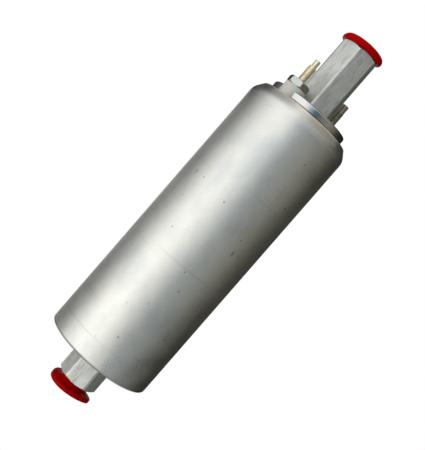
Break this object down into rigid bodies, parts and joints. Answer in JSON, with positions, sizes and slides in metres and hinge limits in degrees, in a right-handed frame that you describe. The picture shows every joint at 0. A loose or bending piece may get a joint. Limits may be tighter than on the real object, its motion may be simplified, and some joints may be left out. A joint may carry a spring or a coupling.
{
  "type": "inline fuel pump",
  "caption": "Inline electric fuel pump: rolled metal can with hex inlet and outlet fittings, stud terminals and red port plugs.",
  "frame": {"origin": "on the flow axis at the middle of the can", "axes": "+Z along the flow axis towards the outlet; -Y faces the picture's camera; +X to the camera's right"},
  "size_m": [0.051, 0.051, 0.1977],
  "materials": {
    "can_steel": "satin",
    "cap_metal": "satin",
    "fitting_aluminium": "matt, machined",
    "red_plastic": "gloss",
    "grey_plastic": "matt",
    "seal_rubber": "matt",
    "stud_brass": "plated",
    "zinc_steel": "plated",
    "contact_brass": "satin",
    "spring_steel": "bright",
    "white_plastic": "matt",
    "plate_aluminium": "machined",
    "rotor_steel": "sintered",
    "bronze": "sintered",
    "shaft_steel": "ground",
    "ferrite": "matt",
    "copper": "enamelled",
    "brown_plastic": "matt",
    "carbon": "matt"
  },
  "bodies": {
    "pump": {"can": "can_steel", "inlet_cap": "cap_metal", "outlet_cap": "cap_metal", "inlet_fitting": "fitting_aluminium", "outlet_fitting": "fitting_aluminium", "positive_insulator": "grey_plastic", "positive_seal": "seal_rubber", "inlet_cap_seal": "seal_rubber", "outlet_cap_seal": "seal_rubber", "positive_stud": "stud_brass", "negative_stud": "stud_brass", "positive_nut": "zinc_steel", "pump_screws": "zinc_steel", "positive_strap": "contact_brass", "negative_strap": "contact_brass", "positive_brush_tube": "contact_brass", "negative_brush_tube": "contact_brass", "check_seat": "contact_brass", "check_spring": "spring_steel", "relief_spring": "spring_steel", "positive_brush_spring": "spring_steel", "negative_brush_spring": "spring_steel", "magnet_clips": "spring_steel", "inlet_strainer": "white_plastic", "thrust_washers": "white_plastic", "brush_holder": "white_plastic", "inlet_plate": "plate_aluminium", "bearing_plate": "plate_aluminium", "pump_ring": "rotor_steel", "lower_bush": "bronze", "upper_bush": "bronze", "flux_ring": "shaft_steel", "magnet_a": "ferrite", "magnet_b": "ferrite"},
    "rotor": {"shaft": "shaft_steel", "armature_core": "shaft_steel", "armature_winding": "copper", "commutator_hub": "brown_plastic", "commutator_bars": "copper", "inner_rotor": "rotor_steel"},
    "outer_rotor": {"outer_rotor": "rotor_steel"},
    "check_valve": {"check_poppet": "white_plastic"},
    "relief_valve": {"relief_ball": "spring_steel"},
    "positive_brush": {"positive_brush": "carbon"},
    "negative_brush": {"negative_brush": "carbon"},
    "inlet_plug": {"inlet_plug": "red_plastic"},
    "outlet_plug": {"outlet_plug": "red_plastic"}
  },
  "joints": [
    {"name": "rotor_spin", "type": "hinge", "parent": "pump", "child": "rotor", "pos_m": [0, 0, 0], "axis": [0, 0, 1], "continuous": true},
    {"name": "outer_rotor_spin", "type": "hinge", "parent": "pump", "child": "outer_rotor", "pos_m": [-0.0012, 0, 0], "axis": [0, 0, 1], "continuous": true},
    {"name": "check_valve_lift", "type": "slide", "parent": "pump", "child": "check_valve", "axis": [0, 0, 1], "range_m": [0, 0.003], "stiffness_N_per_m": 150, "springref_m": -0.002, "deforming": ["check_spring"]},
    {"name": "relief_valve_open", "type": "slide", "parent": "pump", "child": "relief_valve", "axis": [0, 0, -1], "range_m": [0, 0.002], "stiffness_N_per_m": 400, "springref_m": -0.003, "deforming": ["relief_spring"]},
    {"name": "positive_brush_slide", "type": "slide", "parent": "pump", "child": "positive_brush", "axis": [-0.6691, -0.7431, 0], "range_m": [0, 0.002], "stiffness_N_per_m": 150, "springref_m": -0.004, "deforming": ["positive_brush_spring"]},
    {"name": "negative_brush_slide", "type": "slide", "parent": "pump", "child": "negative_brush", "axis": [0.6691, 0.7431, 0], "range_m": [0, 0.002], "stiffness_N_per_m": 150, "springref_m": -0.004, "deforming": ["negative_brush_spring"]},
    {"name": "inlet_plug_pull", "type": "slide", "parent": "pump", "child": "inlet_plug", "axis": [0, 0, -1], "range_m": [0, 0.06]},
    {"name": "outlet_plug_pull", "type": "slide", "parent": "pump", "child": "outlet_plug", "axis": [0, 0, 1], "range_m": [0, 0.06]}
  ],
  "couplings": [
    {"joint": "outer_rotor_spin", "follows": "rotor_spin", "ratio": 0.85714}
  ]
}
